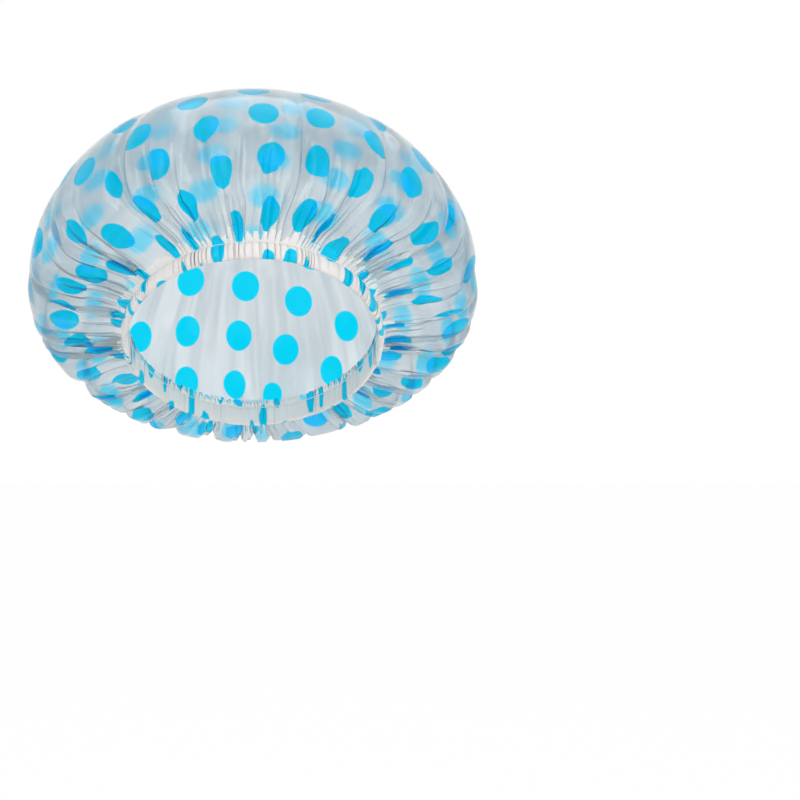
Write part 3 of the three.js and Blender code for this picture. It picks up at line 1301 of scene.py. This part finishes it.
@dataclass(frozen=True)
class ElasticFinish:
    """White woven elastic with a fine grain of threads."""

    colour: Triple = (0.86, 0.85, 0.81)
    shade: Triple = (0.70, 0.69, 0.65)
    grain_scale: float = 2200.0
    grain_strength: float = 0.5
    grain_depth: float = 0.0003
    roughness: float = 0.8
    sheen: float = 0.3

    def material(self) -> bpy.types.Material:
        """Make the woven elastic.

        Returns:
            The material.
        """
        material, desk, shader = new_material("woven_elastic")
        grain = desk.grain(self.grain_scale)
        inputs = {
            "Base Color": desk.blend(grain.outputs["Height"], self.shade, self.colour),
            "Normal": desk.bump(grain.outputs["Height"], self.grain_strength, self.grain_depth),
            "Roughness": self.roughness,
            "Sheen Weight": self.sheen,
        }
        desk.fill(shader, inputs)
        return material


@dataclass(frozen=True)
class ThreadFinish:
    """White spun sewing thread."""

    colour: Triple = (0.88, 0.88, 0.86)
    shade: Triple = (0.72, 0.73, 0.73)
    grain_scale: float = 5000.0
    roughness: float = 0.6
    sheen: float = 0.2

    def material(self) -> bpy.types.Material:
        """Make the sewing thread, once for all lines.

        Returns:
            The material.
        """
        if "spun_thread" in bpy.data.materials:
            return bpy.data.materials["spun_thread"]
        material, desk, shader = new_material("spun_thread")
        grain = desk.grain(self.grain_scale)
        colour = desk.blend(grain.outputs["Height"], self.shade, self.colour)
        inputs = {"Base Color": colour, "Roughness": self.roughness, "Sheen Weight": self.sheen}
        desk.fill(shader, inputs)
        return material


@dataclass(frozen=True)
class Lamp:
    """A soft square lamp that points at the cap."""

    name: str
    spot: Triple
    size: float
    power: float


@dataclass
class Studio:
    """Pale floor, white surroundings, soft lamps and the camera."""

    floor_height: float = -0.42
    floor_size: float = 8.0
    camera_place: Triple = (0.0, -1.5, 0.04)
    lens: float = 109.25
    shift_x: float = 0.18375
    shift_y: float = -0.1475
    world_level: float = 0.64
    floor_grey: float = 0.93
    floor_roughness: float = 0.9
    floor_shine: float = 0.1
    floor_white: float = 0.97
    lamps: tuple[Lamp, ...] = (
        Lamp("key", (-0.9, -1.1, 1.3), 1.2, 11.0),
        Lamp("fill", (1.1, -0.9, 0.5), 1.4, 7.5),
        Lamp("top", (0.1, 0.5, 1.6), 1.6, 9.0),
    )

    def set_camera(self) -> None:
        """Put the camera at the photograph's viewing angle."""
        data = bpy.data.cameras.new("camera")
        data.lens = self.lens
        data.sensor_width = 36
        data.shift_x = self.shift_x
        data.shift_y = self.shift_y
        camera = bpy.data.objects.new("camera", data)
        camera.location = self.camera_place
        camera.rotation_euler = (math.pi / 2, 0, 0)
        bpy.context.scene.collection.objects.link(camera)
        bpy.context.scene.camera = camera

    def set_world(self) -> None:
        """Make the surroundings white to look at, and a plain level of light otherwise."""
        world = bpy.data.worlds.new("studio")
        bpy.context.scene.world = world
        world.use_nodes = True
        desk = NodeDesk(world.node_tree)
        seen = self.seen_directly(desk)
        level = desk.math("MULTIPLY_ADD", seen, 1 - self.world_level, self.world_level)
        background = world.node_tree.nodes["Background"]
        desk.fill(background, {"Color": (1, 1, 1, 1), "Strength": level})

    @staticmethod
    def seen_directly(desk: NodeDesk) -> bpy.types.NodeSocket:
        """Tell rays that show the surroundings from those that only light.

        Args:
            desk: The desk of the world or of the floor's material.

        Returns:
            1 for a ray from the camera, straight, mirrored or through film, and otherwise 0.
        """
        rays = desk.add("ShaderNodeLightPath").outputs
        some = desk.math("MAXIMUM", rays["Is Camera Ray"], rays["Is Glossy Ray"])
        return desk.math("MAXIMUM", some, rays["Is Transmission Ray"])

    def lay_floor(self) -> None:
        """Lay the pale floor, which shows white where no shadow falls."""
        deselect()
        middle = (0, 0, self.floor_height)
        bpy.ops.mesh.primitive_plane_add(size=self.floor_size, location=middle)
        floor = bpy.context.object
        floor.name = "floor"
        material, desk, shader = new_material("pale_floor")
        inputs = {
            "Base Color": (self.floor_grey, self.floor_grey, self.floor_grey, 1),
            "Roughness": self.floor_roughness,
            "Specular IOR Level": self.floor_shine,
        }
        desk.fill(shader, inputs)
        white = desk.add("ShaderNodeEmission", {"Color": (1, 1, 1, 1), "Strength": 1.0})
        share = desk.math("MULTIPLY", self.seen_directly(desk), self.floor_white)
        shown = desk.add("ShaderNodeMixShader", {0: share, 1: shader.outputs[0], 2: white.outputs[0]})
        output = material.node_tree.nodes["Material Output"]
        desk.fill(output, {"Surface": shown.outputs[0]})
        floor.data.materials.append(material)

    def hang_lamps(self) -> None:
        """Hang soft lamps over, beside and before the cap."""
        for lamp in self.lamps:
            data = bpy.data.lights.new(lamp.name, "AREA")
            data.size = lamp.size
            data.energy = lamp.power
            obj = bpy.data.objects.new(lamp.name, data)
            obj.location = lamp.spot
            obj.rotation_euler = (-Vector(lamp.spot)).to_track_quat("-Z", "Y").to_euler()
            bpy.context.scene.collection.objects.link(obj)

    def build(self) -> None:
        """Set the whole studio up."""
        self.set_camera()
        self.set_world()
        self.lay_floor()
        self.hang_lamps()
        bpy.context.scene.view_settings.view_transform = "Standard"


def main() -> None:
    """Build the cap's pieces in order, dress them and set the studio up."""
    logging.basicConfig(level=logging.INFO, format="%(name)s: %(message)s")
    Studio().build()
    form = CapForm()

    loop = ElasticLoop(form)
    elastic = loop.build()
    loop.dress(elastic, ElasticFinish())

    seam = form.seam_height
    lines = (
        StitchLine("needle_stitches", "hem_needle_thread", offset=0.0009, height=seam, form=form),
        StitchLine("bobbin_stitches", "hem_bobbin_thread", offset=-0.0003, height=seam, form=form),
    )
    for line in lines:
        stitches = line.build()
        line.dress(stitches, ThreadFinish())
    tack = ZigzagTack(form)
    zigzag = tack.build(lines[0])
    tack.dress(zigzag, ThreadFinish())

    cap = GatheredFilm(form)
    film = cap.build()
    cap.dress(film, FilmFinish())


if __name__ == "__main__":
    main()
